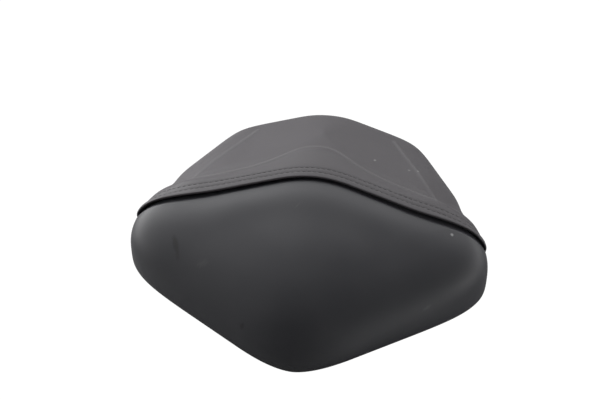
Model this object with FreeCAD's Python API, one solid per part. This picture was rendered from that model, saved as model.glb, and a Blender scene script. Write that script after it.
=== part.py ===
import FreeCAD, Part
import math
import os
from FreeCAD import Vector

# Motorcycle pillion seat: moulded pan, foam cushion, sewn cover, latch striker, rubber feet and staples.
# Millimetres, +Z up, nose towards -Y. The origin is under the middle of the seat, on what it rests on.

# Plan of the rim
half_width = 140.0             # middle to a front corner
tail_half_width = 73.0         # middle to a tail corner
nose_run = 81.0                # nose to the front corners
side_run = 140.0               # front corners to the tail corners
tail_run = 22.0                # tail corners to the tail
nose_round = 70.0              # length of side that each rounded corner takes up
corner_round = 58.0
tail_corner_round = 30.0
tail_round = 34.0

# Rim heights
floor_clearance = 2.0          # nose rim above the resting surface
corner_rise = 19.0             # front corners above the nose
tail_rise = 17.0               # tail above the nose
rim_bend_radius = 200.0        # where the rim bends level at the front corners

# Sitting facet on top, bounded by its creases
crest_height = 86.0            # above the nose rim, at the middle of the gull line
crest_setback = 80.0           # behind the front corners
crease_front_height = 75.0
crease_front_setback = 48.0    # behind the front corners
crease_front_inset = 51.0      # inwards of the front corners
crease_rear_height = 58.0
crease_rear_advance = 14.0     # ahead of the tail corners
crease_rear_inset = 20.0       # inwards of the tail corners
tail_crest_height = 68.0
tail_crest_advance = 24.0      # ahead of the tail
crest_round = 25.0
crease_front_round = 12.0
crease_rear_round = 18.0
tail_crest_round = 28.0

# Wall fullness: 1 is elliptical, less is boxier
nose_fullness = 1.0
corner_fullness = 0.31
tail_fullness = 0.6
corner_fall = 9.0              # drop of the shoulder from the crease out to the wall
tail_fall = 7.0

# Cover
cover_thickness = 1.4
roll_radius = 9.0              # lower edge, where the cover rolls under
roll_trim = 0.4                # the flat underside starts this far up the roll
flange_width = 19.0            # turned-under edge past the roll
seam_setback = 50.2            # seam behind the front corners, at the middle
seam_sweep = 15.6              # degrees, seam swept forwards to each side
seam_bend_radius = 100.0
seam_gap = 0.2
hem_height = 2.4
hem_width = 15.0
hem_overhang = 2.5
hem_tuck_gap = 0.7             # between the hem's overhang and the shield panel

# Pan
layer_gap = 0.2                # between cover, foam and pan
lip_thickness = 4.0
lip_width = 24.0
deck_rise = 24.0               # deck's top above the rim
pan_wall = 3.0
rib_thickness = 2.5
rib_depth = 8.0
rib_pitch = 34.0
drain_diameter = 8.0
drain_setback = 51.0           # behind the striker

# Rubber feet on posts
foot_diameter = 22.0
foot_height = 12.0
foot_edge_radius = 2.5
post_diameter = 20.0
stem_diameter = 8.0
stem_length = 10.0
stem_clearance = 0.1
front_foot_spread = 42.0       # middle to a front foot
side_foot_setback = 150.0      # nose to a side foot

# Latch striker
striker_setback = 30.0         # behind the front corners
plate_length = 56.0
plate_width = 40.0
plate_thickness = 2.5
plate_corner_radius = 6.0
pad_depth = 10.0               # moulded pad below the deck
rod_diameter = 7.0
loop_width = 36.0              # between the legs' middles
loop_drop = 20.0               # plate to the bar's middle
loop_bend_radius = 9.0
screw_diameter = 5.0
screw_length = 9.0             # under the head
screw_head_diameter = 10.0
screw_head_height = 3.2
screw_head_round = 1.9
screw_clearance = 0.25
screw_spread_x = 21.0
screw_spread_y = 13.0

# Rear hook tongues
hook_spread = 30.0             # middle to a hook
hook_width = 24.0
hook_web = 5.0
hook_thickness = 5.0
hook_reach = 32.0              # tongue behind its web
hook_tip_radius = 6.0
hook_bottom = 4.0              # above the resting surface
hook_advance = 52.0            # web's rear face ahead of the tail

# Staples
staple_width = 10.0
staple_wire = 1.2
staple_flat = 0.7
staple_leg = 4.4
staple_clearance = 0.1         # between a staple's crown and the cover
staple_pitch = 24.0

# Levels of the rings in degrees, up the rolled edge and then the wall, and shares of the roof
roll_levels = (30.0, 60.0, 90.0)
wall_levels = (8.0, 14.0, 24.0, 40.0, 58.0, 74.0, 84.0, 88.5, 90.0)
roof_shares = (0.66, 0.33)
summit_share = 0.45            # summit's place along the ridge
skirt_depth = 30.0             # the cushion's form starts this far below the resting surface
round_limit = 0.45             # most of a side that one rounded corner takes up
reach = 400.0                  # larger than the seat, for cutting tools
fit_tolerance = 1e-5

# The rounded nose and tail stay inside their corners by this much, and the seat is centred between them
nose_cut = nose_round * math.cos(math.atan2(half_width, nose_run)) / 3
tail_cut = tail_round * math.cos(math.atan2(tail_half_width, tail_run)) / 3
nose_y = -(nose_run + side_run + tail_run + nose_cut - tail_cut) / 2
corner_y = nose_y + nose_run
tail_corner_y = corner_y + side_run
tail_y = tail_corner_y + tail_run
tail_corner_rise = corner_rise + (tail_rise - corner_rise) * side_run / (side_run + tail_run)
lip_base = cover_thickness + roll_trim + layer_gap


# Six corners from the nose round to the right, the tail and the left
def both_sides(nose, corner, tail_corner, tail):
    left = [Vector(-point.x, point.y, point.z) for point in (tail_corner, corner)]
    return [nose, corner, tail_corner, tail] + left


def rim_corners():
    return both_sides(
        Vector(0, nose_y, floor_clearance),
        Vector(half_width, corner_y, floor_clearance + corner_rise),
        Vector(tail_half_width, tail_corner_y, floor_clearance + tail_corner_rise),
        Vector(0, tail_y, floor_clearance + tail_rise),
    )


def crease_corners():
    return both_sides(
        Vector(0, corner_y + crest_setback, floor_clearance + crest_height),
        Vector(half_width - crease_front_inset, corner_y + crease_front_setback,
               floor_clearance + crease_front_height),
        Vector(tail_half_width - crease_rear_inset, tail_corner_y - crease_rear_advance,
               floor_clearance + crease_rear_height),
        Vector(0, tail_y - tail_crest_advance, floor_clearance + tail_crest_height),
    )


# Values that belong to the six corners
def six(nose, corner, tail_corner, tail):
    return (nose, corner, tail_corner, tail, tail_corner, corner)


rim_rounds = six(nose_round, corner_round, tail_corner_round, tail_round)
crease_rounds = six(crest_round, crease_front_round, crease_rear_round, tail_crest_round)
fullness = six(nose_fullness, corner_fullness, tail_fullness, tail_fullness)
falls = six(0.0, corner_fall, tail_fall, tail_fall)


# Move every side of a plan outline inwards, heights kept
def inset_outline(corners, distance):
    moved = []
    for index, corner in enumerate(corners):
        arriving = corner - corners[index - 1]
        leaving = corners[(index + 1) % len(corners)] - corner
        first = Vector(-arriving.y, arriving.x, 0).normalize()
        second = Vector(-leaving.y, leaving.x, 0).normalize()
        moved.append(corner + (first + second) * (distance / (1 + first.dot(second))))
    return moved


# Control points of a closed ring with straight sides and rounded corners
def ring_poles(corners, rounds):
    poles = []
    for index, corner in enumerate(corners):
        arriving = corners[index - 1] - corner
        leaving = corners[(index + 1) % len(corners)] - corner
        poles.append(corner + arriving * min(rounds[index] / arriving.Length, round_limit))
        poles.append(corner)
        poles.append(corner + leaving * min(rounds[index] / leaving.Length, round_limit))
    return poles


def blend(low, high, share):
    return low + (high - low) * share


# One ring of the cushion's wall at a level between upright and crease
def wall_ring(level, inset):
    angle = math.radians(level)
    corners = []
    rounds = []
    for index, (rim, crease) in enumerate(zip(inset_outline(rim_corners(), inset), crease_corners())):
        across = 1 - max(math.cos(angle), 0.0) ** fullness[index]
        up = math.sin(angle) ** fullness[index]
        top = crease.z - inset - falls[index] * (1 - across)
        place = blend(rim, crease, across)
        corners.append(Vector(place.x, place.y, blend(rim.z, top, up)))
        rounds.append(blend(rim_rounds[index], crease_rounds[index], across))
    return ring_poles(corners, rounds)


# Closed solid under a smooth skin over rings of control points, flat below and closed at the last ring
def skinned_solid(rings):
    around = len(rings[0])
    spans = len(rings) - 3
    skin = Part.BSplineSurface()
    skin.buildFromPolesMultsKnots(
        [list(column) for column in zip(*rings)],
        [1] * (around + 1), [4] + [1] * (spans - 1) + [4],
        list(range(around + 1)), list(range(spans + 1)),
        True, False, 3, 3)
    wall = skin.toShape()
    edges = [edge for edge in wall.Edges if edge.Length > fit_tolerance]
    lowest = min(edges, key=lambda edge: edge.BoundBox.ZMax)
    solid = Part.Solid(Part.Shell([wall, Part.Face(Part.Wire(lowest))]))
    solid.fix(fit_tolerance, fit_tolerance, fit_tolerance)
    return solid


# One ring of the rolled lower edge, from underneath at 0 degrees to the upright wall at 90
def roll_ring(level, inset):
    angle = math.radians(level)
    radius = roll_radius - inset
    corners = inset_outline(rim_corners(), roll_radius - radius * math.sin(angle))
    lift = Vector(0, 0, inset + radius * (1 - math.cos(angle)))
    return ring_poles([corner + lift for corner in corners], rim_rounds)


# The cushion's form, set in by a distance from the cover's outer face and open below the rim
def cushion_form(inset):
    low_corners = inset_outline(rim_corners(), roll_radius)
    low_ring = ring_poles([Vector(c.x, c.y, -skirt_depth) for c in low_corners], rim_rounds)
    rings = [low_ring] + [roll_ring(0.0, inset)] * 3
    rings += [roll_ring(level, inset) for level in roll_levels]
    rings += [wall_ring(level, inset) for level in wall_levels]
    crease = [c - Vector(0, 0, inset) for c in crease_corners()]
    summit = blend(crease[0], crease[3], summit_share)
    for share in roof_shares:
        roof_corners = [blend(summit, corner, share) for corner in crease]
        rings.append(ring_poles(roof_corners, [r * share for r in crease_rounds]))
    rings.append([summit] * len(rings[0]))
    return skinned_solid(rings)


# Side view of the rim's underside: up from the nose, round a bend at the front corners, level to the tail
def rim_bend(offset):
    bend = Vector(-reach, corner_y, floor_clearance + corner_rise + offset)
    front = math.atan2(corner_rise, nose_run)
    rear = math.atan2(tail_rise - corner_rise, side_run + tail_run)
    half_turn = (front - rear) / 2
    tangent = rim_bend_radius * math.tan(half_turn)
    start = bend - Vector(0, math.cos(front), math.sin(front)) * tangent
    end = bend + Vector(0, math.cos(rear), math.sin(rear)) * tangent
    centre = start + Vector(0, math.sin(front), -math.cos(front)) * rim_bend_radius
    return start, centre, end, front, rear


# Height of that underside at a place along the seat
def underside_z(y, offset=0.0):
    start, centre, end, front, rear = rim_bend(offset)
    if y < start.y:
        return start.z + (y - start.y) * math.tan(front)
    if y > end.y:
        return end.z + (y - end.y) * math.tan(rear)
    return centre.z + math.sqrt(rim_bend_radius ** 2 - (y - centre.y) ** 2)


# The same underside as a line, an arc and a line
def rim_profile(offset):
    start, centre, end, front, rear = rim_bend(offset)
    places = (-reach, (start.y + end.y) / 2, reach)
    first, middle, last = (Vector(-reach, y, underside_z(y, offset)) for y in places)
    return [Part.makeLine(first, start), Part.Arc(start, middle, end).toShape(), Part.makeLine(end, last)]


# Everything between two offsets above the rim, right across the seat
def rim_slab(low, high):
    bottom = rim_profile(low)
    top = rim_profile(high)
    front = Part.makeLine(top[0].Vertexes[0].Point, bottom[0].Vertexes[0].Point)
    back = Part.makeLine(bottom[-1].Vertexes[-1].Point, top[-1].Vertexes[-1].Point)
    section = Part.Face(Part.Wire(bottom + [back] + top[::-1] + [front]))
    return section.extrude(Vector(2 * reach, 0, 0))


# Upright column with the rim's plan, set in by a distance, its arcs as far in as the rings are
def rim_column(inset):
    corners = [Vector(c.x, c.y, -reach) for c in inset_outline(rim_corners(), inset)]
    arcs = []
    for index, corner in enumerate(corners):
        arriving = corners[index - 1] - corner
        leaving = corners[(index + 1) % len(corners)] - corner
        half = arriving.getAngle(leaving) / 2
        cut = rim_rounds[index] * math.cos(half) / 3
        radius = cut / (1 / math.sin(half) - 1)
        tangent = min(radius / math.tan(half), round_limit * min(arriving.Length, leaving.Length))
        middle = (arriving.normalize() + leaving.normalize()).normalize()
        depth = tangent * math.tan(half) * (1 / math.sin(half) - 1)
        arcs.append(Part.Arc(corner + arriving * tangent, corner + middle * depth,
                             corner + leaving * tangent))
    edges = []
    for index, arc in enumerate(arcs):
        edges.append(Part.makeLine(arcs[index - 1].EndPoint, arc.StartPoint))
        edges.append(arc.toShape())
    return Part.Face(Part.Wire(edges)).extrude(Vector(0, 0, 2 * reach))


# The cushion's closed form, cut level with the rim just inside its rolled edge
def cushion_body(inset):
    return cushion_form(inset).common(rim_slab(inset + roll_trim, reach)).Solids[0]


# A skin of even thickness between two forms
def skin(outside, inside):
    shells = [cushion_body(outside).Shells[0], cushion_body(inside).Shells[0].reversed()]
    return Part.makeSolid(Part.makeCompound(shells))


# Place of the seam along the seat, on its straight part at a distance from the middle
def seam_y(x):
    sweep = math.radians(seam_sweep)
    bend_drop = seam_bend_radius * (1 - math.cos(sweep))
    straight = abs(x) - seam_bend_radius * math.sin(sweep)
    return corner_y + seam_setback - bend_drop - straight * math.tan(sweep)


# Everything behind the seam's line, moved back by a distance
def behind_seam(shift):
    top_y = corner_y + seam_setback + shift
    bend_x = seam_bend_radius * math.sin(math.radians(seam_sweep))
    bend_y = seam_y(bend_x) + shift
    end_y = seam_y(reach) + shift
    left_end, right_end = (Vector(side * reach, end_y, -reach) for side in (-1, 1))
    left_bend, right_bend = (Vector(side * bend_x, bend_y, -reach) for side in (-1, 1))
    far_left, far_right = (Vector(side * reach, reach, -reach) for side in (-1, 1))
    bend = Part.Arc(left_bend, Vector(0, top_y, -reach), right_bend).toShape()
    edges = [Part.makeLine(left_end, left_bend), bend, Part.makeLine(right_bend, right_end),
             Part.makeLine(right_end, far_right), Part.makeLine(far_right, far_left),
             Part.makeLine(far_left, left_end)]
    return Part.Face(Part.Wire(edges)).extrude(Vector(0, 0, 2 * reach))


# The opening that the cover's turned-under edge leaves below
def cover_opening():
    return rim_column(roll_radius + flange_width).common(rim_slab(-reach / 2, lip_base))


def shield_cover_panel(shell):
    return shell.cut(behind_seam(0.0))


# Sitting panel with its folded hem, raised over the panel and overhanging the shield
def seat_cover_panel(shell):
    panel = shell.common(behind_seam(hem_width))
    fold = skin(-hem_height, cover_thickness).common(behind_seam(seam_gap).cut(behind_seam(hem_width)))
    strip = behind_seam(-hem_overhang).cut(behind_seam(seam_gap))
    overhang = skin(-hem_height, -hem_tuck_gap).common(strip)
    return panel.fuse(fold.fuse(overhang)).cut(cover_opening())


# Space that the pan takes up, with a margin
def pan_space(margin):
    lip_top = lip_base + lip_thickness + margin
    lip = rim_column(roll_radius - margin).common(rim_slab(lip_base - margin, lip_top))
    hat_inset = roll_radius + lip_width - margin
    hat = rim_column(hat_inset).common(rim_slab(lip_base - margin, deck_rise + margin))
    return lip.fuse(hat)


def foam_cushion():
    return cushion_body(cover_thickness + layer_gap).cut(pan_space(layer_gap))


# Places of the four feet: name, x and y, with their posts just inside the deck's walls
def foot_places():
    wall_inset = roll_radius + lip_width + pan_wall + post_diameter / 2
    nose, corner, tail_corner = inset_outline(rim_corners(), wall_inset)[:3]
    front = blend(nose, corner, front_foot_spread / corner.x)
    side_run_share = (nose_y + side_foot_setback - corner.y) / (tail_corner.y - corner.y)
    side = blend(corner, tail_corner, side_run_share)
    return [(pair + "_" + hand, sign * place.x, place.y)
            for pair, place in (("front", front), ("side", side))
            for hand, sign in (("left", -1), ("right", 1))]


# Rubber foot with a stem that is pressed up into its post
def foot(x, y):
    pad = Part.makeCylinder(foot_diameter / 2, foot_height, Vector(x, y, 0))
    pad = pad.makeFillet(foot_edge_radius, pad.Edges)
    stem_base = Vector(x, y, foot_height / 2)
    stem = Part.makeCylinder(stem_diameter / 2, foot_height / 2 + stem_length, stem_base)
    return pad.fuse(stem).removeSplitter()


# Level of the moulded pad that the striker is screwed to
def pad_level():
    return floor_clearance + corner_rise + deck_rise - pan_wall - pad_depth


striker_y = corner_y + striker_setback


def screw_places():
    return [(sx * screw_spread_x, striker_y + sy * screw_spread_y) for sx in (-1, 1) for sy in (-1, 1)]


# Steel plate with a bent rod loop welded below it
def latch_striker():
    low = pad_level() - plate_thickness
    plate = Part.makeBox(plate_length, plate_width, plate_thickness,
                         Vector(-plate_length / 2, striker_y - plate_width / 2, low))
    upright = [e for e in plate.Edges if abs(e.Vertexes[0].Z - e.Vertexes[1].Z) > plate_thickness / 2]
    plate = plate.makeFillet(plate_corner_radius, upright)
    holes = [Part.makeCylinder(screw_diameter / 2 + screw_clearance, plate_thickness, Vector(x, y, low))
             for x, y in screw_places()]
    plate = plate.cut(holes)
    leg_x = loop_width / 2
    bar_z = low - loop_drop
    bend = loop_bend_radius
    inner = bend * (1 - math.sqrt(0.5))
    points = [Vector(-leg_x, striker_y, low), Vector(-leg_x, striker_y, bar_z + bend),
              Vector(-leg_x + inner, striker_y, bar_z + inner), Vector(-leg_x + bend, striker_y, bar_z),
              Vector(leg_x - bend, striker_y, bar_z), Vector(leg_x - inner, striker_y, bar_z + inner),
              Vector(leg_x, striker_y, bar_z + bend), Vector(leg_x, striker_y, low)]
    path = Part.Wire([Part.makeLine(points[0], points[1]),
                      Part.Arc(points[1], points[2], points[3]).toShape(),
                      Part.makeLine(points[3], points[4]),
                      Part.Arc(points[4], points[5], points[6]).toShape(),
                      Part.makeLine(points[6], points[7])])
    section = Part.Wire(Part.makeCircle(rod_diameter / 2, points[0], Vector(0, 0, -1)))
    loop = path.makePipeShell([section], True, False)
    return plate.fuse(loop).removeSplitter()


# Domed screws, up through the plate into the pad
def striker_screws():
    low = pad_level() - plate_thickness
    screws = []
    for x, y in screw_places():
        shank = Part.makeCylinder(screw_diameter / 2, screw_length, Vector(x, y, low))
        head_base = Vector(x, y, low - screw_head_height)
        head = Part.makeCylinder(screw_head_diameter / 2, screw_head_height, head_base)
        head = head.makeFillet(screw_head_round, [head.Edges[2]])
        screws.append(shank.fuse(head).removeSplitter())
    return Part.makeCompound(screws)


# Hook tongue: a web down from the deck and a tongue towards the tail
def hook(side):
    rear = tail_y - hook_advance
    x = side * hook_spread - hook_width / 2
    web = Part.makeBox(hook_width, hook_web, reach / 2, Vector(x, rear - hook_web, hook_bottom))
    tongue = Part.makeBox(hook_width, hook_web + hook_reach, hook_thickness,
                          Vector(x, rear - hook_web, hook_bottom))
    at_tip = [e for e in tongue.Edges if min(v.Y for v in e.Vertexes) > rear]
    corners = [e for e in at_tip if abs(e.Vertexes[0].X - e.Vertexes[1].X) < hook_width / 2]
    return web.fuse(tongue.makeFillet(hook_tip_radius, corners))


# Moulded pan: stapling lip, raised deck, ribs, posts, striker pad and hooks in one piece
def seat_pan():
    hollow_inset = roll_radius + lip_width + pan_wall
    hollow_top = deck_rise - pan_wall
    hollow = rim_column(hollow_inset).common(rim_slab(-reach / 2, hollow_top))
    pan = pan_space(0.0).cut(hollow)
    # what is added ends in the middle of the deck and its walls, or hangs below the rim
    room = rim_column(hollow_inset - pan_wall / 2).common(rim_slab(-reach / 2, deck_rise - pan_wall / 2))
    rib_room = room.common(rim_slab(hollow_top - rib_depth, deck_rise))
    inside = room.fuse(rim_slab(-reach / 2, -layer_gap))
    count = int(half_width / rib_pitch)
    ribs = []
    for step in range(-count, count + 1):
        ribs.append(Part.makeBox(rib_thickness, 2 * reach, reach,
                                 Vector(step * rib_pitch - rib_thickness / 2, -reach, 0)))
        ribs.append(Part.makeBox(2 * reach, rib_thickness, reach,
                                 Vector(-reach, striker_y + step * rib_pitch - rib_thickness / 2, 0)))
    added = [ribs[0].fuse(ribs[1:]).common(rib_room)]
    for place, x, y in foot_places():
        post = Part.makeCylinder(post_diameter / 2, reach / 2, Vector(x, y, foot_height))
        added.append(post.common(inside))
    pad = Part.makeBox(plate_length, plate_width, reach / 2,
                       Vector(-plate_length / 2, striker_y - plate_width / 2, pad_level()))
    added.append(pad.common(inside))
    added += [hook(side).common(inside) for side in (-1, 1)]
    pan = pan.fuse(added).removeSplitter()
    holes = [Part.makeCylinder(stem_diameter / 2 + stem_clearance, stem_length + stem_clearance,
                               Vector(x, y, foot_height)) for place, x, y in foot_places()]
    holes += [Part.makeCylinder(screw_diameter / 2, screw_length, Vector(x, y, pad_level()))
              for x, y in screw_places()]
    drain_y = striker_y + drain_setback
    holes += [Part.makeCylinder(drain_diameter / 2, reach / 2, Vector(side * rib_pitch / 2, drain_y, 0))
              for side in (-1, 1)]
    return pan.cut(holes)


# Flat wire staple, its crown against the underside and its legs upwards
def staple(place, heading):
    half = staple_width / 2
    slope = (underside_z(place.y + half) - underside_z(place.y - half)) / staple_width
    up = Vector(0, -slope, 1).normalize()
    along = Vector(heading.x, heading.y, heading.y * slope).normalize()
    crown = Part.makeBox(staple_width, staple_wire, staple_flat,
                         Vector(-half, -staple_wire / 2, -staple_flat))
    legs = [Part.makeBox(staple_flat, staple_wire, staple_leg, Vector(x, -staple_wire / 2, 0))
            for x in (-half, half - staple_flat)]
    solid = crown.fuse(legs).removeSplitter()
    middle = Vector(place.x, place.y, underside_z(place.y, roll_trim - staple_clearance))
    solid.Placement = FreeCAD.Placement(middle, FreeCAD.Rotation(along, up.cross(along), up))
    return solid


# Staples along each straight side of the turned-under edge, clear of the hem
def cover_staples():
    row = inset_outline(rim_corners(), roll_radius + flange_width / 2)
    staples = []
    for index, start in enumerate(row):
        after = (index + 1) % len(row)
        run = row[after] - start
        straight = run.Length - (rim_rounds[index] + rim_rounds[after]) / 2
        count = int(straight / staple_pitch) + 1
        for step in range(count):
            place = start + run * (0.5 + (step - (count - 1) / 2) * staple_pitch / run.Length)
            behind = place.y - seam_y(place.x)
            if behind < -hem_overhang - staple_width or behind > hem_width + staple_width:
                staples.append(staple(place, run))
    return Part.makeCompound(staples)


os.makedirs("parts", exist_ok=True)
cover = skin(0.0, cover_thickness).cut(cover_opening())
staples = cover_staples()
nodes = {
    "shield_cover_panel": shield_cover_panel(cover).cut(staples.Solids),
    "seat_cover_panel": seat_cover_panel(cover).cut(staples.Solids),
    "cover_staples": staples,
    "foam_cushion": foam_cushion(),
    "seat_pan": seat_pan().cut(staples.Solids),
    "latch_striker": latch_striker(),
    "striker_screws": striker_screws(),
}
for place, x, y in foot_places():
    nodes["foot_" + place] = foot(x, y)
for name, shape in nodes.items():
    shape.exportStep("parts/" + name + ".step")
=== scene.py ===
import math

import bmesh
import bpy
import numpy as np
from mathutils import Matrix, Vector


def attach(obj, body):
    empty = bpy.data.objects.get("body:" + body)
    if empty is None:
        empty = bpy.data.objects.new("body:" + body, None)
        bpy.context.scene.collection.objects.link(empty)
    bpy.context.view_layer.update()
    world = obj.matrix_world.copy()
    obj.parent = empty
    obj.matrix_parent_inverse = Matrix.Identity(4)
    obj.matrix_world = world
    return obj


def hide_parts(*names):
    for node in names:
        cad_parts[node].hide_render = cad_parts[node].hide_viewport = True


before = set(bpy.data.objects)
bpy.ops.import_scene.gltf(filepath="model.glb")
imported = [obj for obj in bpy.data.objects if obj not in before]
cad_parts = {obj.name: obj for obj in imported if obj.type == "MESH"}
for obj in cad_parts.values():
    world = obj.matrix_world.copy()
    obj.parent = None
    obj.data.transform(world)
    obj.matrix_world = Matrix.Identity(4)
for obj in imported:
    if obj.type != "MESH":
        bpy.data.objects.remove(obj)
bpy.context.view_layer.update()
mm = 0.001
print("frame loaded:", len(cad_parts), "nodes")


# the cushion's form: right half of its corners, from nose to tail, in mm
cushion = {
    "rim": [(0, -122.7, 2.7), (140, -44.707, 21), (73, 95.293, 19.272), (0, 117.293, 19)],
    "crease": [(0, 35.293, 88), (89, 3.293, 77), (55, 81.293, 60), (0, 93.293, 70)],
    "rimRounds": [50, 54, 30, 34],
    "creaseRounds": [25, 12, 12, 28],
    "roundLimit": 0.45,
    "fullness": [1.0, 0.31, 0.6, 0.6],   # 1 is an elliptical wall, less is boxier
    "falls": [0, 9, 7, 7],               # drop of the shoulders outside the creases
    "rollRadius": 9,
    "rollTrim": 0.4,                     # the underside is flat from this far up the roll
    "flange": 19,                        # turned-under edge
    "flangeBeyond": 8,                   # the form runs on this far past that edge
    "flangeStart": 3,                    # inside the roll
    "flangeSink": 1,                     # its control points lie this much lower, the trim flattens it
    "rollLevels": (0, 30, 60, 90),
    "wallLevels": (8, 14, 24, 40, 58, 74, 84, 88.5, 90),
    "roofShares": (0.66, 0.33),
    "roofRounds": [80, 12, 14, 40],      # rounder than the creases, so that the roof has no ridge
    "summitShare": 0.45,
    "rimBend": 200,                      # radius where the rim turns level
}


def sixCorners(values):
    # nose, right, tail and left corners of the ring from the right half's values
    right = [np.array(value, float) for value in values]
    left = [value * (-1, 1, 1) if value.ndim else value for value in (right[2], right[1])]
    return np.array(right + left)


def insetOutline(corners, distance):
    # every side of the plan outline moved inwards
    def inward(run):
        return np.stack([-run[:, 1], run[:, 0]], 1) / np.linalg.norm(run[:, :2], axis=1)[:, None]
    first = inward(corners - np.roll(corners, 1, 0))
    second = inward(np.roll(corners, -1, 0) - corners)
    moved = corners.copy()
    moved[:, :2] += (first + second) * (distance / (1 + (first * second).sum(1)))[:, None]
    return moved


def ringPoles(corners, rounds):
    # three control points at each corner: straight sides, rounded corners
    poles = []
    for k, corner in enumerate(corners):
        for other in (corners[k - 1], corner, corners[(k + 1) % len(corners)]):
            run = other - corner
            share = min(rounds[k] / max(np.linalg.norm(run), 1e-9), cushion["roundLimit"])
            poles.append(corner + run * share)
    return np.array(poles)


def controlRings(inset):
    # rings of control points from under the flange, round the roll and up the wall to the summit
    rim, crease = sixCorners(cushion["rim"]), sixCorners(cushion["crease"])
    rimRounds, creaseRounds = sixCorners(cushion["rimRounds"]), sixCorners(cushion["creaseRounds"])
    fullness, falls = sixCorners(cushion["fullness"]), sixCorners(cushion["falls"])
    roofRounds = sixCorners(cushion["roofRounds"])
    roll, flange = cushion["rollRadius"], cushion["flange"]
    rings = []
    for past in (flange + cushion["flangeBeyond"], flange, flange / 2, cushion["flangeStart"]):
        flat = insetOutline(rim, roll + past) + (0, 0, inset - cushion["flangeSink"])
        rings.append(ringPoles(flat, rimRounds))
    for level in cushion["rollLevels"]:
        across = math.sin(math.radians(level)) * (roll - inset)
        up = inset + (roll - inset) * (1 - math.cos(math.radians(level)))
        rings.append(ringPoles(insetOutline(rim, roll - across) + (0, 0, up), rimRounds))
    base = insetOutline(rim, inset)
    for level in cushion["wallLevels"]:
        across = 1 - max(math.cos(math.radians(level)), 0) ** fullness
        up = math.sin(math.radians(level)) ** fullness
        top = crease[:, 2] - inset - falls * (1 - across)
        corners = base + (crease - base) * across[:, None]
        corners[:, 2] = base[:, 2] + (top - base[:, 2]) * up
        rings.append(ringPoles(corners, rimRounds + (creaseRounds - rimRounds) * across))
    roof = crease - (0, 0, inset)
    summit = roof[0] + (roof[3] - roof[0]) * cushion["summitShare"]
    for share in cushion["roofShares"]:
        rings.append(ringPoles(summit + (roof - summit) * share, roofRounds * share))
    rings += [np.repeat(summit[None], len(rings[0]), 0)] * 3    # the surface closes at the summit
    return np.array(rings)


def splineWeights(f):
    # shares of four neighbouring control points in a cubic B-spline
    return np.stack([(1 - f) ** 3, 3 * f ** 3 - 6 * f ** 2 + 4,
                     -3 * f ** 3 + 3 * f ** 2 + 3 * f + 1, f ** 3], -1) / 6


def formPoint(rings, u, v):
    # smooth surface over the rings: u runs round them, v from the flange to the summit
    u, v = np.broadcast_arrays(np.asarray(u, float), np.asarray(v, float))
    column = np.floor(u).astype(int)
    row = np.clip(np.floor(v).astype(int), 1, len(rings) - 3)
    near = rings[(row[..., None] + np.arange(-1, 3))[..., :, None],
                 ((column[..., None] + np.arange(-1, 3)) % rings.shape[1])[..., None, :]]
    return np.einsum("...a,...b,...abk->...k", splineWeights(v - row), splineWeights(u - column), near)


def formSlopes(rings, u, v, step=1e-3):
    alongU = (formPoint(rings, u + step, v) - formPoint(rings, u - step, v)) / (2 * step)
    alongV = (formPoint(rings, u, v + step) - formPoint(rings, u, v - step)) / (2 * step)
    return alongU, alongV


def formNormal(rings, u, v):
    normal = np.cross(*formSlopes(rings, u, v))
    return normal / np.maximum(np.linalg.norm(normal, axis=-1, keepdims=True), 1e-9)


def undersideZ(y):
    # side view of the rim: up from the nose, round a bend, level to the tail
    nose, corner, _, tail = (np.array(p, float) for p in cushion["rim"])
    front = math.atan2(corner[2] - nose[2], corner[1] - nose[1])
    rear = math.atan2(tail[2] - corner[2], tail[1] - corner[1])
    tangent = cushion["rimBend"] * math.tan((front - rear) / 2)
    startY, startZ = corner[1] - tangent * math.cos(front), corner[2] - tangent * math.sin(front)
    endY = corner[1] + tangent * math.cos(rear)
    centreY = startY + cushion["rimBend"] * math.sin(front)
    centreZ = startZ - cushion["rimBend"] * math.cos(front)
    bend = centreZ + np.sqrt(np.maximum(cushion["rimBend"] ** 2 - (y - centreY) ** 2, 0))
    level = corner[2] + (y - corner[1]) * math.tan(rear)
    return np.where(y < startY, nose[2] + (y - nose[1]) * math.tan(front), np.where(y > endY, level, bend))


def coverPoint(rings, u, v, inset=0.0):
    # the form with its flat underside
    points = formPoint(rings, u, v)
    points[..., 2] = np.maximum(points[..., 2], undersideZ(points[..., 1]) + cushion["rollTrim"] + inset)
    return points


outerRings = controlRings(0.0)
edgeV = 1.0                              # the turned-under edge
topV = len(outerRings) - 2.0             # the summit
noseU, turnU = 1.0, 18.0                 # the middle of the nose, and once round


def smoothStep(value, low, high):
    share = np.clip((value - low) / (high - low), 0, 1)
    return share * share * (3 - 2 * share)


def runLengths(points):
    # length along a line of points, at each of them
    return np.concatenate([[0], np.cumsum(np.linalg.norm(np.diff(points, axis=0), axis=1))])


# the seam: straight runs with a bend in the middle
seam = {
    "middleY": 5.493,
    "sweep": math.radians(15.6),
    "bendRadius": 100,
    "leanFrom": 66,                      # below this the seam leans back down the side walls
    "lean": 0.45,
    "leanSoft": 10,
    "ease": 3.4,                         # the runs turn back a little towards the shoulders
    "easeAcross": (66, 118),
    "columns": 372,
    "traceStep": 0.6,
    "halvings": 50,                      # of the search for its middle
    "stepPasses": 6,
}


def seamDistance(points):
    # how far behind the seam, along the seat
    x, y = np.abs(points[..., 0]), points[..., 1]
    sweep, radius = seam["sweep"], seam["bendRadius"]
    bendX = radius * math.sin(sweep)
    bent = radius - np.sqrt(np.maximum(radius ** 2 - np.minimum(x, bendX) ** 2, 0))
    below, soft = np.maximum(seam["leanFrom"] - points[..., 2], 0), seam["leanSoft"]
    back = seam["lean"] * np.where(below < soft, below ** 2 / (2 * soft), below - soft / 2)
    back = back + seam["ease"] * smoothStep(x, *seam["easeAcross"])
    return y - back - (seam["middleY"] - bent - np.maximum(x - bendX, 0) * math.tan(sweep))


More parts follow.
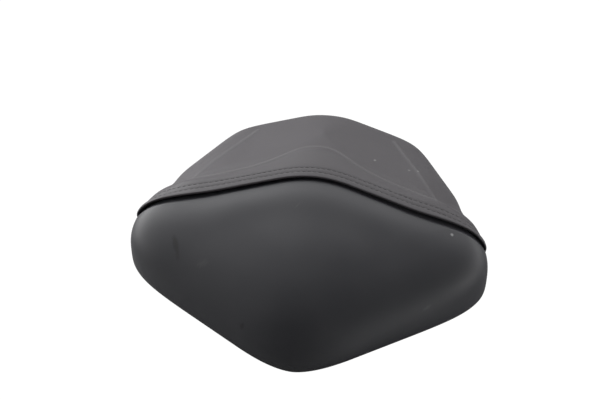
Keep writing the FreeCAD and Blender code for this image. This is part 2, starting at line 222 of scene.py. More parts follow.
def seamGradient(rings, u, v, step=1e-3):
    alongU = seamDistance(formPoint(rings, u + step, v)) - seamDistance(formPoint(rings, u - step, v))
    alongV = seamDistance(formPoint(rings, u, v + step)) - seamDistance(formPoint(rings, u, v - step))
    return alongU / (2 * step), alongV / (2 * step)


def traceSeam():
    # follow the seam over the form, from the middle down to the edge on the right, then mirrored
    low, high = edgeV, topV
    for _ in range(seam["halvings"]):
        middle = (low + high) / 2
        if seamDistance(formPoint(outerRings, noseU, middle)) < 0:
            low = middle
        else:
            high = middle
    u, v = noseU, low
    track = [(u, v)]
    while v > edgeV:
        slopeU, slopeV = formSlopes(outerRings, u, v)
        gradU, gradV = seamGradient(outerRings, u, v)
        run = np.linalg.norm(slopeU * gradV - slopeV * gradU)
        u += gradV / run * seam["traceStep"]
        v -= gradU / run * seam["traceStep"]
        gradU, gradV = seamGradient(outerRings, u, v)
        miss = seamDistance(formPoint(outerRings, u, v)) / (gradU ** 2 + gradV ** 2)
        u, v = u - gradU * miss, v - gradV * miss
        track.append((u, v))
    share = (track[-2][1] - edgeV) / (track[-2][1] - track[-1][1])
    track[-1] = (track[-2][0] + (track[-1][0] - track[-2][0]) * share, edgeV)
    right = np.array(track)
    left = right[:0:-1] * (-1, 1) + (2 * noseU, 0)
    return evenly(np.concatenate([left, right]), seam["columns"])


def evenly(track, count):
    # the same track with evenly spaced points
    run = runLengths(formPoint(outerRings, *track.T))
    places = np.linspace(0, run[-1], count + 1)
    return np.stack([np.interp(places, run, track[:, k]) for k in (0, 1)], 1)


def stepTrack(track, distance):
    # move a whole track straight across the seam to another distance behind it
    points = formPoint(outerRings, *track.T)
    along = np.gradient(points, axis=0)
    along /= np.linalg.norm(along, axis=1)[:, None]
    u, v = track.T.copy()
    for _ in range(seam["stepPasses"]):
        here = formPoint(outerRings, u, v)
        slopeU, slopeV = formSlopes(outerRings, u, v)
        gradU, gradV = seamGradient(outerRings, u, v)
        miss = seamDistance(here) - distance
        drift = ((here - points) * along).sum(1)
        driftU, driftV = (slopeU * along).sum(1), (slopeV * along).sum(1)
        ends = [0, -1]                   # these stay on the edge
        driftU[ends], driftV[ends], drift[ends] = 0, 1, v[ends] - edgeV
        det = gradU * driftV - gradV * driftU
        u -= (miss * driftV - gradV * drift) / det
        v -= (gradU * drift - miss * driftU) / det
    return np.stack([u, v], 1)


def nearestTrack(tracks, distance):
    return tracks[min(tracks, key=lambda other: abs(other - distance))]


seamTrack = traceSeam()
print("seam traced:", len(seamTrack), "points")


# flattened map of the form, on which rows between two tracks run straight
spread = {
    "around": 3601,                      # samples round the form and up it
    "up": 400,
    "rimV": 7.0,                         # the ring whose plan gives the map its outline
    "meridianStep": 0.5,
    "edgeSamples": 1500,
    "stepGrowth": 1.12,                  # from one row to the next, beside a seam
}
spreadU = np.linspace(0, turnU, spread["around"])
spreadRim = formPoint(outerRings, spreadU, spread["rimV"])[:, :2]
spreadTop = formPoint(outerRings, 0.0, topV)[:2]
spreadAngle = np.unwrap(np.arctan2(*(spreadRim - spreadTop).T[::-1]))
spreadReach = np.linalg.norm(spreadRim - spreadTop, axis=1)
spreadV = np.linspace(edgeV, topV, spread["up"])
meridians = formPoint(outerRings, np.arange(0, turnU, spread["meridianStep"])[:, None], spreadV[None])
meridianRun = np.linalg.norm(np.diff(meridians, axis=1), axis=2).mean(0)
spreadShare = 1 - np.concatenate([[0], np.cumsum(meridianRun)]) / meridianRun.sum()


def toMap(track):
    u = np.mod(track[:, 0], turnU)
    angle, reach = np.interp(u, spreadU, spreadAngle), np.interp(u, spreadU, spreadReach)
    reach = reach * np.interp(track[:, 1], spreadV, spreadShare)
    return np.stack([np.cos(angle) * reach, np.sin(angle) * reach], 1)


def fromMap(flat):
    first = spreadAngle[0]
    angle = np.mod(np.arctan2(flat[:, 1], flat[:, 0]) - first, 2 * math.pi) + first
    u = np.interp(angle, spreadAngle, spreadU)
    share = np.linalg.norm(flat, axis=1) / np.interp(u, spreadU, spreadReach)
    return np.stack([u, np.interp(-share, -spreadShare, spreadV)], 1)


def edgeTrack(start, end):
    # along the turned-under edge from one place round it to another
    u = np.linspace(start, end, spread["edgeSamples"])
    return evenly(np.stack([u, np.full_like(u, edgeV)], 1), seam["columns"])


def rowsBetween(first, last, shares):
    flatFirst, flatLast = toMap(first), toMap(last)
    rows = [fromMap(flatFirst + (flatLast - flatFirst) * share) for share in shares]
    rows[0], rows[-1] = first, last
    return rows


def easedShares(count, firstShare):
    # shares from 0 to 1 whose steps grow from a small first one
    steps = np.minimum(firstShare * spread["stepGrowth"] ** np.arange(count), 1 / count)
    steps[steps >= steps.max()] += (1 - steps.sum()) / (steps >= steps.max()).sum()
    return np.concatenate([[0], np.cumsum(steps)])


mergeGap, sliverGap = 0.01 * mm, 0.001 * mm


def smoothObject(name, bm):
    for face in bm.faces:
        face.smooth = True
    mesh = bpy.data.meshes.new(name)
    bm.to_mesh(mesh)
    bm.free()
    made = bpy.data.objects.new(name, mesh)
    bpy.context.scene.collection.objects.link(made)
    return made


def coverFromRows(name, rows):
    # a grid whose rows are laid along the tracks, closed back to its first row and at its ends
    bm = bmesh.new()
    bmesh.ops.create_grid(bm, x_segments=len(rows[0]) - 1, y_segments=len(rows) - 1, size=1)
    bm.verts.ensure_lookup_table()
    for vert, place in zip(bm.verts, np.concatenate(rows) * mm):
        vert.co = place
    bmesh.ops.remove_doubles(bm, verts=bm.verts, dist=mergeGap)
    bmesh.ops.holes_fill(bm, edges=[e for e in bm.edges if e.is_boundary], sides=0)
    bmesh.ops.dissolve_degenerate(bm, edges=bm.edges, dist=sliverGap)
    bmesh.ops.triangulate(bm, faces=[f for f in bm.faces if len(f.verts) > 4])
    bmesh.ops.recalc_face_normals(bm, faces=bm.faces)
    piece = smoothObject(name, bm)
    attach(piece, "root")
    return piece


# shoulders: beside the hem the cover is drawn in, most of all just behind it
shoulder = {
    "start": 82.0,                       # from the middle out
    "full": 110.0,
    "hemDip": 1.8,
    "valleyDip": 2.2,
    "valley": (13.5, 20.0),
    "valleyFade": (22.0, 42.0),
    "shieldShare": 0.3,                  # of the dip, ahead of the seam
    "shieldReach": 26.0,
    "rimFade": (3.0, 16.0),
    "underShare": 0.35,                  # of the hem's height and the groove's depth, at the rim
    "underFade": (18, 50),
    "foamInset": 1.6,
    "foamGap": 0.35,                     # the drawn-in cover stays this far outside the foam
}

foamRings = controlRings(shoulder["foamInset"])


def foamRoom(points, normals, u, v):
    # how far the cover may sink before it meets the foam
    room = ((points - formPoint(foamRings, u, v)) * normals).sum(1) - shoulder["foamGap"]
    return np.maximum(room, 0)


def shoulderDip(points, normals, u, v):
    behind = seamDistance(points)
    side = smoothStep(np.abs(points[:, 0]), shoulder["start"], shoulder["full"])
    side = side * smoothStep(points[:, 2] - undersideZ(points[:, 1]), *shoulder["rimFade"])
    valley = (shoulder["valleyDip"] - shoulder["hemDip"]) * smoothStep(behind, *shoulder["valley"])
    back = (shoulder["hemDip"] + valley) * (1 - smoothStep(behind, *shoulder["valleyFade"]))
    ahead = shoulder["hemDip"] * shoulder["shieldShare"] * np.exp(-(behind / shoulder["shieldReach"]) ** 2)
    return np.clip(side * np.where(behind < 0, ahead, back), 0, foamRoom(points, normals, u, v))


def underScale(points):
    # thins hem and groove down the side walls
    share = smoothStep(points[..., 2] - undersideZ(points[..., 1]), *shoulder["underFade"])
    return shoulder["underShare"] + (1 - shoulder["underShare"]) * share


# front panel: the smooth shield, dipping under the hem at the seam
shield = {
    "rows": 150,
    "firstStep": 0.0022,
    "dip": 1.15,
    "dipMiddle": 0.4,                    # share of it at the middle
    "dipSpread": (5.0, 45.0),
    "dipFrom": -5.6,                     # less than nothing behind the seam is ahead of it
    "dipTo": -2.0,
    "dipShift": 1.6,                     # wider groove on the outer runs
    "dipSide": (30.0, 110.0),
    "crown": 0.9,                        # the panel rolls back towards the seam
    "crownWidth": 18.0,
    "roll": 1.2,                         # and is fuller ahead of that
    "rollBehind": -18.0,
    "rollWidth": 13.0,
    "rollSide": 0.25,                    # share of it at the shoulders
    "rollSpread": (50.0, 95.0),
    "edgeSwell": 2.5,                    # the lower edge turns down more sharply
    "edgeHeight": 12.0,
    "edgeWidth": (8.0, 15.0),            # below and above
    "edgeFade": (46.0, 76.0),
    "edgeNose": 0.45,                    # share of it at the nose
    "edgeSpread": (0.0, 40.0),
    "noseTip": 0.8,                      # sharper nose
    "noseWidth": 13.0,
    "noseShape": 1.4,                    # 1 is a peak, 2 is round
    "noseHeight": 14.0,
    "noseFade": (85.0, 105.0),
    "thickness": 1.4,                    # of both panels
    "innerEvery": 6,                     # the inner face has one row for this many outside
}

innerRings = controlRings(shield["thickness"])


def shieldDrop(points, normals, track):
    # down into the groove at the seam, as far as the foam allows
    x, behind = np.abs(points[:, 0]), seamDistance(points)
    deep = shield["dipMiddle"] + (1 - shield["dipMiddle"]) * smoothStep(x, *shield["dipSpread"])
    outer = shield["dipShift"] * smoothStep(x, *shield["dipSide"])
    drop = shield["dip"] * deep * smoothStep(behind + outer, shield["dipFrom"], shield["dipTo"])
    crown = shield["crown"] * np.clip(1 + behind / shield["crownWidth"], 0, 1) ** 2
    drop = np.maximum(drop + crown, shoulderDip(points, normals, *track.T))
    return np.clip(drop, 0, foamRoom(points, normals, *track.T)) * underScale(points)


def shieldSwell(points):
    # fuller along the lower edge, at the nose and ahead of the groove
    x, y, behind = np.abs(points[:, 0]), points[:, 1], seamDistance(points)
    high = points[:, 2] - undersideZ(y) - shield["edgeHeight"]
    width = np.where(high < 0, *shield["edgeWidth"])
    edge = np.exp(-(high / width) ** 2) * smoothStep(-y, *shield["edgeFade"])
    edge = edge * (shield["edgeNose"] + (1 - shield["edgeNose"]) * smoothStep(x, *shield["edgeSpread"]))
    tip = np.exp(-(x / shield["noseWidth"]) ** shield["noseShape"] - (high / shield["noseHeight"]) ** 2)
    tip = tip * smoothStep(-y, *shield["noseFade"])
    roll = np.exp(-((behind - shield["rollBehind"]) / shield["rollWidth"]) ** 2) * underScale(points)
    side = 1 - (1 - shield["rollSide"]) * smoothStep(x, *shield["rollSpread"])
    return shield["edgeSwell"] * edge + shield["noseTip"] * tip + shield["roll"] * roll * side


def shieldCover():
    edge = edgeTrack(*seamTrack[[0, -1], 0])
    tracks = rowsBetween(seamTrack, edge, easedShares(shield["rows"], shield["firstStep"]))
    rows = []
    for track in tracks:
        points, normals = coverPoint(outerRings, *track.T), formNormal(outerRings, *track.T)
        height = shieldSwell(points) - shieldDrop(points, normals, track)
        rows.append(points + normals * height[:, None])
    inner = tracks[::-shield["innerEvery"]]
    for track in inner + [tracks[0]] * (inner[-1] is not tracks[0]):
        rows.append(coverPoint(innerRings, *track.T, shield["thickness"]))
    rows.append(rows[0])
    piece = coverFromRows("shield_cover", rows)
    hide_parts("shield_cover_panel")
    return piece


# sitting panel: hem folded at the seam, two stitched channels, raised crease lines, tail and side walls
seat = {
    "rows": 150,
    "firstStep": 0.0045,
    "seamGap": 0.2,
    "hemHeight": 2.6,
    "hemOverhang": 2.5,
    "tuckGap": 0.7,
    "tuckTurn": -0.7,                    # the tucked ply is straight to here
    "hemWidth": 15.0,
    "noseSteps": 8,                      # round the fold
    "rampStart": [(60, 8.5), (105, 13.5)],   # from here the hem's top falls to the gull line, by x
    "shoulderEnd": (108, 21),
    "swell": 1.3,                        # fuller side walls
    "swellAcross": (50, 80),
    "swellAlong": (0, 35, 82, 102),
    "rampSoft": 2.5,
    "rowStep": 0.62,
    "stitchRows": (2.0, 6.0),
    "channelDepth": 0.22,
    "channelWidth": 0.55,
    "gull": [(0, 38.7), (7, 38), (14, 35.1), (23.5, 26.8), (35, 18.6), (51, 11.2), (72, 4.6), (89, 0.2)],
    "sideCrease": [(89, 0.2), (71, 39.7), (52.9, 79)],
    "gullHeight": 90.0,                  # over the lean of the seam
    "ridgeHeight": 0.6,
    "ridgeWidth": 1.2,
    "ridgeFade": (50, 60),
    "roofEase": 0.6,                     # takes the ridge off the roof towards the tail
    "roofEaseWidth": 12.0,
    "roofEaseAlong": (30, 60),
    "innerFrom": 0.5,                    # the inner face starts behind the tucked ply
}


def lineDistance(points, line):
    # plan distance from a line drawn on the right half and mirrored
    flat = np.stack([np.abs(points[:, 0]), points[:, 1]], 1)
    best = np.full(len(flat), np.inf)
    for start, run in zip(line[:-1], np.diff(line, axis=0)):
        share = np.clip(((flat - start) @ run) / (run @ run), 0, 1)
        best = np.minimum(best, np.linalg.norm(flat - start - share[:, None] * run, axis=1))
    return best


def smoothLine(points, passes=4, cut=0.25):
    # round the corners of a drawn line, its ends kept
    line = np.array(points, float)
    for _ in range(passes):
        start, end = line[:-1], line[1:]
        pairs = np.stack([start * (1 - cut) + end * cut, start * cut + end * (1 - cut)], 1)
        line = np.concatenate([line[:1], pairs.reshape(-1, 2), line[-1:]])
    return line


gullLine, sideLine = smoothLine(seat["gull"]), smoothLine(seat["sideCrease"])
gullBehind = seamDistance(np.column_stack([gullLine, np.full(len(gullLine), seat["gullHeight"])]))
rampEnds = np.vstack([np.column_stack([gullLine[:, 0], gullBehind]), seat["shoulderEnd"]])


def hemTop(points):
    # height over the form: level at the stitching, then down to the gull line
    distance = seamDistance(points)
    rampStart = np.interp(np.abs(points[..., 0]), *np.transpose(seat["rampStart"]))
    rampEnd = np.interp(np.abs(points[..., 0]), *rampEnds.T)
    fall = (rampEnd - distance) / (rampEnd - rampStart)
    soft = seat["rampSoft"] / (rampEnd - rampStart)
    fall = np.where(np.abs(fall) < soft, (fall + soft) ** 2 / (4 * soft), np.maximum(fall, 0))
    fall = np.where(np.abs(1 - fall) < soft, 1 - (1 - fall + soft) ** 2 / (4 * soft), np.minimum(fall, 1))
    height = seat["hemHeight"] * fall
    for row in seat["stitchRows"]:
        height = height - seat["channelDepth"] * np.exp(-((distance - row) / seat["channelWidth"]) ** 2)
    return height


def hemProfile():
    # distance behind the seam and height, from the tucked end round the overhang, then on top
    radius = (seat["hemHeight"] - seat["tuckGap"]) / 2
    noseD, noseH = radius - seat["hemOverhang"], seat["tuckGap"] + radius
    profile = [(seat["seamGap"], seat["tuckGap"]), (seat["tuckTurn"], seat["tuckGap"])]
    for step in range(seat["noseSteps"] + 1):
        turn = math.pi * step / seat["noseSteps"]
        profile.append((noseD - radius * math.sin(turn), noseH - radius * math.cos(turn)))
    count = round((seat["hemWidth"] - noseD) / seat["rowStep"])
    return profile + [(distance, None) for distance in np.linspace(noseD, seat["hemWidth"], count + 1)[1:]]


def creaseRidge(points):
    # 1 on the crease lines, nothing beside them and down the walls
    away = np.minimum(lineDistance(points, gullLine), lineDistance(points, sideLine))
    return np.exp(-(away / seat["ridgeWidth"]) ** 2) * smoothStep(points[:, 2], *seat["ridgeFade"])


def roofEase(points):
    ease = np.exp(-(points[:, 0] / seat["roofEaseWidth"]) ** 2)
    ease = ease * smoothStep(points[:, 1], *seat["roofEaseAlong"])
    return seat["roofEase"] * ease * smoothStep(points[:, 2], *seat["ridgeFade"])


def sideSwell(points):
    start, full, fade, end = seat["swellAlong"]
    along = smoothStep(points[:, 1], start, full) * (1 - smoothStep(points[:, 1], fade, end))
    across = smoothStep(np.abs(points[:, 0]), *seat["swellAcross"])
    above = smoothStep(points[:, 2] - undersideZ(points[:, 1]), *shoulder["rimFade"])
    return seat["swell"] * along * across * above


def seatCover():
    profile = hemProfile()
    tracks, known = [], {0.0: seamTrack}
    for distance, _ in profile:
        named = round(distance, 4)
        known.setdefault(named, stepTrack(nearestTrack(known, distance), distance))
        tracks.append(known[named])
    last = tracks[-1]
    edge = edgeTrack(last[0, 0] + turnU, last[-1, 0])
    behindHem = rowsBetween(last, edge, easedShares(seat["rows"], seat["firstStep"]))
    heights = [height for _, height in profile] + [None] * seat["rows"]
    rows = []
    for track, height in zip(tracks + behindHem[1:], heights):
        points, normals = coverPoint(outerRings, *track.T), formNormal(outerRings, *track.T)
        if height is None:
            height = hemTop(points) + seat["ridgeHeight"] * creaseRidge(points)
        height = height * underScale(points) + sideSwell(points) - roofEase(points)
        rows.append(points + normals * (height - shoulderDip(points, normals, *track.T))[:, None])
    inner = behindHem[::-shield["innerEvery"]] + tracks[-2::-shield["innerEvery"]]
    reach = [seamDistance(formPoint(outerRings, *track.T)).max() for track in inner]
    inner = [track for track, behind in zip(inner, reach) if behind > seat["innerFrom"]]
    for track in inner + [tracks[0]]:
        rows.append(coverPoint(innerRings, *track.T, shield["thickness"]))
    rows.append(rows[0])
    piece = coverFromRows("seat_cover", rows)
    places = np.array([vert.co for vert in piece.data.vertices]) / mm
    line = piece.data.attributes.new("creaseHighlightMask", "FLOAT", "POINT")     # painted highlight along the crease ridges
    line.data.foreach_set("value", creaseRidge(places).astype(np.float32))
    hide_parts("seat_cover_panel")
    return piece, known


shieldPiece = shieldCover()
print("shield cover:", len(shieldPiece.data.polygons), "faces")
seatPiece, hemTracks = seatCover()
print("seat cover:", len(seatPiece.data.polygons), "faces")


# topstitching: two rows of thread along the hem
stitching = {
    "pitch": 3.9,
    "length": 3.3,
    "width": 0.62,
    "height": 0.5,
    "sink": 0.02,                        # middle of the thread over the channel's floor
    "sides": 8,
    "rings": 6,
    "lowestV": 4.6,                      # the rows end where the cover turns under
}


def stitchPlace(u, v, along):
    # where a stitch lies on the hem and how it is turned
    place, normal = coverPoint(outerRings, u, v), formNormal(outerRings, u, v)
    dip = shoulderDip(place[None], normal[None], np.array([u]), np.array([v]))[0]
    lift = hemTop(place) * underScale(place) - dip + stitching["sink"]
    across = Vector(normal).cross(along).normalized()
    turn = Matrix((along, across, along.cross(across))).transposed().to_4x4()
    return Matrix.Translation((place + normal * lift) * mm) @ turn


def hemStitching():
    bm = bmesh.new()
    size = Matrix.Diagonal([stitching[side] / 2 for side in ("length", "width", "height")] + [1])
    for distance in seat["stitchRows"]:
        track = stepTrack(nearestTrack(hemTracks, distance), distance)
        points = coverPoint(outerRings, *track.T)
        run = runLengths(points)
        for reach in np.arange(run[-1] % stitching["pitch"] / 2, run[-1], stitching["pitch"]):
            u, v = (np.interp(reach, run, track[:, k]) for k in (0, 1))
            if v < stitching["lowestV"]:
                continue
            before, after = (Vector([np.interp(reach + shift, run, points[:, k]) for k in range(3)])
                             for shift in (-1, 1))
            along = (after - before).normalized()
            bmesh.ops.create_uvsphere(bm, u_segments=stitching["sides"], v_segments=stitching["rings"],
                                      radius=mm, matrix=stitchPlace(u, v, along) @ size)
    piece = smoothObject("hem_stitching", bm)
    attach(piece, "root")
    return piece


stitchPiece = hemStitching()
print("stitching:", len(stitchPiece.data.polygons), "faces")


# node groups that several finishes share
def newGroup(name, inputs, outputs):
    group = bpy.data.node_groups.new(name, "ShaderNodeTree")
    for socket, kind in inputs:
        group.interface.new_socket(socket, in_out="INPUT", socket_type="NodeSocket" + kind)
    for socket, kind in outputs:
        group.interface.new_socket(socket, in_out="OUTPUT", socket_type="NodeSocket" + kind)
    return group, group.nodes.new("NodeGroupInput").outputs, group.nodes.new("NodeGroupOutput").inputs


def addNode(tree, kind, links=(), **settings):
    # a node with its own settings and what is linked or set on its inputs
    node = tree.nodes.new("ShaderNode" + kind)
    for setting, value in settings.items():
        setattr(node, setting, value)
    for socket, source in dict(links).items():
        if isinstance(source, bpy.types.NodeSocket):
            tree.links.new(source, node.inputs[socket])
        else:
            node.inputs[socket].default_value = source
    return node


grainLook = {
    "warp": 0.4 * mm,                    # cells are bent this far out of shape
    "warpDetail": 2.0,
    "softness": 0.5,
    "poresPerCell": 3.1,
    "poreDetail": 3.0,
    "poreShare": 0.35,                   # of the height
    "patchDetail": 6.0,
    "patchRoughness": 0.6,
    "mottle": (0.3, 0.7),                # the part of the patches' noise that is spread from 0 to 1
}


def grainGroup():
    # pebbled grain with creases between its cells, and slow mottling
    group, given, result = newGroup("grain", (("Vector", "Vector"), ("Cells", "Float"), ("Patches", "Float")),
                                    (("Height", "Float"), ("Mottle", "Float")))
    place = given["Vector"]
    warp = addNode(group, "TexNoise", {"Vector": place, "Scale": given["Cells"],
                                       "Detail": grainLook["warpDetail"]})
    nudge = addNode(group, "VectorMath", {0: warp.outputs["Color"], 1: [grainLook["warp"]] * 3},
                    operation="MULTIPLY")
    bent = addNode(group, "VectorMath", {0: place, 1: nudge.outputs[0]}, operation="ADD")
    cells = addNode(group, "TexVoronoi", {"Vector": bent.outputs[0], "Scale": given["Cells"],
                                          "Smoothness": grainLook["softness"]}, feature="SMOOTH_F1")
    fine = addNode(group, "Math", {0: given["Cells"], 1: grainLook["poresPerCell"]}, operation="MULTIPLY")
    pores = addNode(group, "TexNoise", {"Vector": place, "Scale": fine.outputs[0],
                                        "Detail": grainLook["poreDetail"]})
    height = addNode(group, "Math", {0: pores.outputs["Fac"], 1: grainLook["poreShare"],
                                     2: cells.outputs["Distance"]}, operation="MULTIPLY_ADD")
    patches = addNode(group, "TexNoise", {"Vector": place, "Scale": given["Patches"],
                                          "Detail": grainLook["patchDetail"],
                                          "Roughness": grainLook["patchRoughness"]})
    group.links.new(height.outputs[0], result["Height"])
    group.links.new(patches.outputs["Fac"], result["Mottle"])
    return group


markLook = {
    "noise": 700.0,                      # per metre, for the ragged outline
    "noiseDetail": 3.0,
    "core": 0.45,                        # share of its size that is not faded
}


def markGroup():
    # soft-edged mark: its middle, its turn and its half sizes, in metres
    group, given, result = newGroup("mark", (("Vector", "Vector"), ("Middle", "Vector"), ("Turn", "Vector"),
                                             ("Size", "Vector"), ("Ragged", "Float")), (("Mask", "Float"),))
    away = addNode(group, "VectorMath", {0: given["Vector"], 1: given["Middle"]}, operation="SUBTRACT")
    turned = addNode(group, "VectorRotate", {"Vector": away.outputs[0], "Rotation": given["Turn"]},
                     rotation_type="EULER_XYZ", invert=True)
    share = addNode(group, "VectorMath", {0: turned.outputs[0], 1: given["Size"]}, operation="DIVIDE")
    length = addNode(group, "VectorMath", {0: share.outputs[0]}, operation="LENGTH")
    noise = addNode(group, "TexNoise", {"Vector": given["Vector"], "Scale": markLook["noise"],
                                        "Detail": markLook["noiseDetail"]})
    ragged = addNode(group, "Math", {0: noise.outputs["Fac"], 1: given["Ragged"], 2: length.outputs["Value"]},
                     operation="MULTIPLY_ADD")
    mask = addNode(group, "MapRange", {"Value": ragged.outputs[0], "From Min": 1.0,
                                       "From Max": markLook["core"]}, interpolation_type="SMOOTHSTEP")
    group.links.new(mask.outputs[0], result["Mask"])
    return group


grain, mark = grainGroup(), markGroup()


def mixColours(tree, share, first, second):
    # by number, because the node's sockets for colours share their names with others
    mixed = addNode(tree, "Mix", {0: share, 6: first, 7: (*second, 1)}, data_type="RGBA")
    return mixed.outputs[2]


def newMaterial(name, finish):
    # grained finish: colour between two tones, roughness between two values, bump from the grain
    material = bpy.data.materials.new(name)
    material.use_nodes = True
    tree = material.node_tree
    shader = tree.nodes["Principled BSDF"]
    place = addNode(tree, "TexCoord").outputs["Object"]
    surface = addNode(tree, "Group", {"Vector": place, "Cells": finish["cells"],
                                      "Patches": finish["patches"]}, node_tree=grain)
    low, high = grainLook["mottle"]
    mottle = {"Value": surface.outputs["Mottle"], "From Min": low, "From Max": high}
    tone = addNode(tree, "MapRange", mottle)
    colour = mixColours(tree, tone.outputs[0], (*finish["dark"], 1), finish["light"])
    # painted highlight: the colour turns paler along the crease ridges
    if "paintedCreaseHighlight" in finish:
        line = addNode(tree, "Attribute", attribute_name="creaseHighlightMask", attribute_type="GEOMETRY")
        colour = mixColours(tree, line.outputs["Fac"], colour, finish["paintedCreaseHighlight"])
    for middle, turn, size, ragged, strength, shade in finish.get("marks", ()):
        middle, size = ([value * mm for value in values] for values in (middle, size))
        spot = addNode(tree, "Group", {"Vector": place, "Middle": middle, "Turn": turn, "Size": size,
                                       "Ragged": ragged}, node_tree=mark)
        amount = addNode(tree, "Math", {0: spot.outputs["Mask"], 1: strength}, operation="MULTIPLY")
        colour = mixColours(tree, amount.outputs[0], colour, shade)
    tree.links.new(colour, shader.inputs["Base Color"])
    low, high = finish["rough"]
    rough = addNode(tree, "MapRange", {**mottle, "To Min": low, "To Max": high})
    tree.links.new(rough.outputs[0], shader.inputs["Roughness"])
    bump = addNode(tree, "Bump", {"Height": surface.outputs["Height"], "Strength": finish["bump"],
                                  "Distance": finish["depth"] * mm})
    tree.links.new(bump.outputs[0], shader.inputs["Normal"])
    shader.inputs["Metallic"].default_value = finish.get("metallic", 0.0)
    shader.inputs["Specular IOR Level"].default_value = finish.get("gloss", 0.5)
    return material


# finishes: two tones, roughness range, grain cells per metre, slow patches per metre, bump, grain depth in mm
# marks: middle in mm, turn, half sizes in mm, raggedness, strength, shade
finishes = {
    "shieldVinyl": {
        "dark": (0.0208, 0.021, 0.0248), "light": (0.0248, 0.025, 0.0288), "rough": (0.5, 0.58),
        "cells": 1100.0, "patches": 28.0, "bump": 0.12, "depth": 0.12,
        "marks": [
            ((-91.5, -52.6, 62.2), (0, 0, -1.18), (10, 3.4, 16), 0.35, 0.9, (0.008, 0.008, 0.009)),   # scuffs
            ((-89, -59, 58.2), (0, 0, -1.3), (6, 2.6, 14), 0.4, 0.6, (0.01, 0.01, 0.011)),
            ((-37.2, -98, 33.6), (0, 0, 0), (2.6, 2.6, 8), 0.4, 0.75, (0.009, 0.009, 0.01)),
            ((101.5, -27.6, 71.4), (0, 0, 0), (2.0, 2.0, 8), 0.5, 0.8, (0.24, 0.24, 0.24)),           # dust
            ((88.6, -71.6, 41.7), (0, 0, 0.6), (8, 1.2, 12), 0.7, 0.2, (0.1, 0.1, 0.1)),
            ((-8.5, -21.6, 80.2), (0, 0, 0.9), (6, 1.0, 8), 0.7, 0.15, (0.12, 0.12, 0.12)),
            ((-70.3, -64.6, 58), (0, 0, 0.2), (12, 6, 12), 0.9, 0.35, (0.055, 0.055, 0.057)),
        ],
    },
    "seatVinyl": {
        "dark": (0.0395, 0.036, 0.0405), "light": (0.0455, 0.042, 0.0465), "rough": (0.54, 0.62),
        # the crease colour is a painted highlight on the raised crease lines
        "cells": 950.0, "patches": 24.0, "bump": 0.16, "depth": 0.16, "paintedCreaseHighlight": (0.064, 0.061, 0.065),
        "marks": [
            ((73.5, 36, 69.5), (0, 0, 0), (1.7, 1.7, 8), 0.4, 0.7, (0.2, 0.2, 0.2)),
            ((41.1, 37, 77.8), (0, 0, 1.4), (2.4, 1.5, 8), 0.4, 0.65, (0.2, 0.2, 0.2)),
            ((66.9, 34.5, 72), (0, 0, 0), (1.6, 1.6, 8), 0.4, 0.55, (0.2, 0.2, 0.2)),
        ],
    },
    "threadBlack": {
        "dark": (0.031, 0.03, 0.032), "light": (0.041, 0.04, 0.042), "rough": (0.62, 0.72),
        "cells": 4200.0, "patches": 900.0, "bump": 0.5, "depth": 0.1,
    },
    "foamCream": {
        "dark": (0.44, 0.42, 0.35), "light": (0.54, 0.52, 0.46), "rough": (0.88, 0.96),
        "cells": 1500.0, "patches": 60.0, "bump": 0.6, "depth": 0.4,
    },
    "panPlastic": {
        "dark": (0.017, 0.017, 0.018), "light": (0.023, 0.023, 0.024), "rough": (0.48, 0.6),
        "cells": 1800.0, "patches": 35.0, "bump": 0.22, "depth": 0.1,
    },
    "zincSteel": {
        "dark": (0.5, 0.5, 0.51), "light": (0.66, 0.66, 0.67), "rough": (0.28, 0.44),
        "cells": 2600.0, "patches": 140.0, "bump": 0.08, "depth": 0.05, "metallic": 1.0,
    },
    "stapleSteel": {
        "dark": (0.42, 0.42, 0.43), "light": (0.58, 0.58, 0.59), "rough": (0.34, 0.5),
        "cells": 3200.0, "patches": 260.0, "bump": 0.08, "depth": 0.04, "metallic": 1.0,
    },
    "footRubber": {
        "dark": (0.012, 0.012, 0.012), "light": (0.02, 0.02, 0.02), "rough": (0.72, 0.86),
        "cells": 2200.0, "patches": 80.0, "bump": 0.25, "depth": 0.1, "gloss": 0.35,
    },
}
materials = {name: newMaterial(name, finish) for name, finish in finishes.items()}
shieldPiece.data.materials.append(materials["shieldVinyl"])
seatPiece.data.materials.append(materials["seatVinyl"])
stitchPiece.data.materials.append(materials["threadBlack"])
nodeFinish = {                           # by how the node's name starts, and zinc steel for the rest
    "foam": "foamCream",
    "seat_pan": "panPlastic",
    "foot": "footRubber",
    "cover_staples": "stapleSteel",
}
for name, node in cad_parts.items():
    chosen = [finish for start, finish in nodeFinish.items() if name.startswith(start)]
    node.data.materials.clear()
    node.data.materials.append(materials[chosen[0] if chosen else "zincSteel"])
print("finishes:", len(materials))


# studio: pale floor, soft boxes behind and beside the seat, camera where the photograph was taken from
studio = {
    "floorSize": 3.0,
    "floorShade": (0.25, 0.25, 0.25),
    "floorRough": 0.9,
    "floorGlow": 0.98,                   # share of plain white that the camera sees
    "glowStrength": 1.06,
    "worldLight": 0.01,
    "lightAim": (0, 0, 0.04),
    "lights": [                          # name, place, size, power
        ("backTop", (0, 0.9, 1.1), 1.2, 10.0),
        ("backLow", (0, 1.5, 0.5), 1.6, 4.0),
        ("leftBack", (-1.1, 0.7, 0.8), 1.0, 28.0),
        ("leftTop", (-1.0, -0.1, 1.0), 1.0, 1.8),
        ("leftSide", (-1.2, 0.05, 0.5), 0.9, 3.5),
        ("leftLow", (-1.15, -0.05, 0.28), 0.8, 7.5),
        ("rightBack", (1.1, 0.7, 0.8), 1.0, 8.5),
        ("rightTop", (1.0, -0.1, 1.0), 1.0, 1.0),
        ("rightSide", (1.2, 0.0, 0.5), 0.9, 6.7),
        ("rightLow", (0.75, -0.55, 0.06), 0.4, 2.8),
    ],
    "azimuth": math.radians(7.6),
    "elevation": math.radians(43.22),
    "distance": 0.9465,
    "lens": 78,
    "sensor": 36,
    "aim": (0, -0.0157, 0.048),
    "aimRight": -0.0076,                 # from there, across and up the picture
    "aimUp": 0.02436,
}


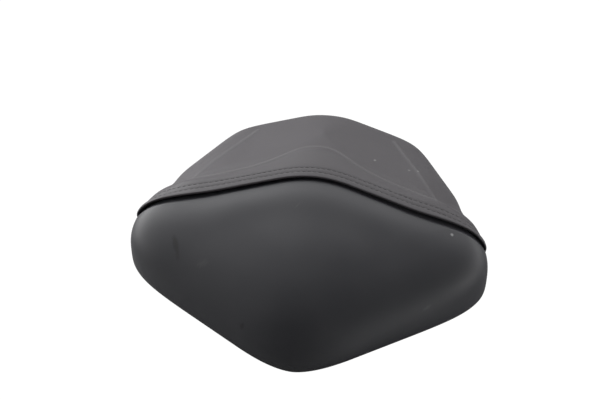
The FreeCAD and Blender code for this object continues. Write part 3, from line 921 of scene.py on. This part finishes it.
def floorMaterial():
    material = bpy.data.materials.new("paleFloor")
    material.use_nodes = True
    tree = material.node_tree
    shader, output = tree.nodes["Principled BSDF"], tree.nodes["Material Output"]
    shader.inputs["Base Color"].default_value = (*studio["floorShade"], 1)
    shader.inputs["Roughness"].default_value = studio["floorRough"]
    glow = addNode(tree, "Emission", {"Color": (1, 1, 1, 1), "Strength": studio["glowStrength"]})
    cameraRay = addNode(tree, "LightPath").outputs["Is Camera Ray"]
    seen = addNode(tree, "Math", {0: cameraRay, 1: studio["floorGlow"]}, operation="MULTIPLY")
    blend = addNode(tree, "MixShader", {0: seen.outputs[0], 1: shader.outputs[0], 2: glow.outputs[0]})
    tree.links.new(blend.outputs[0], output.inputs["Surface"])
    return material


def buildStudio():
    bm = bmesh.new()
    bmesh.ops.create_grid(bm, x_segments=1, y_segments=1, size=studio["floorSize"])
    floor = smoothObject("floor", bm)
    floor.data.materials.append(floorMaterial())
    world = bpy.data.worlds.new("studioWorld")
    world.use_nodes = True
    background = world.node_tree.nodes["Background"].inputs
    background["Color"].default_value = (1, 1, 1, 1)
    background["Strength"].default_value = studio["worldLight"]
    bpy.context.scene.world = world
    for name, place, size, power in studio["lights"]:
        light = bpy.data.lights.new(name, "AREA")
        light.shape, light.size, light.energy = "SQUARE", size, power
        lamp = bpy.data.objects.new(name, light)
        lamp.location = place
        lamp.rotation_mode = "QUATERNION"
        lamp.rotation_quaternion = (Vector(place) - Vector(studio["lightAim"])).to_track_quat("Z", "Y")
        bpy.context.scene.collection.objects.link(lamp)
    a, e = studio["azimuth"], studio["elevation"]
    back = Vector((math.sin(a) * math.cos(e), -math.cos(a) * math.cos(e), math.sin(e)))
    right = Vector((math.cos(a), math.sin(a), 0))
    aim = Vector(studio["aim"]) + right * studio["aimRight"] + back.cross(right) * studio["aimUp"]
    camera = bpy.data.objects.new("camera", bpy.data.cameras.new("camera"))
    camera.data.lens, camera.data.sensor_width = studio["lens"], studio["sensor"]
    camera.location = aim + back * studio["distance"]
    camera.rotation_mode = "QUATERNION"
    camera.rotation_quaternion = back.to_track_quat("Z", "Y")
    bpy.context.scene.collection.objects.link(camera)
    bpy.context.scene.camera = camera
    bpy.context.scene.view_settings.view_transform = "Standard"


buildStudio()
print("studio ready")
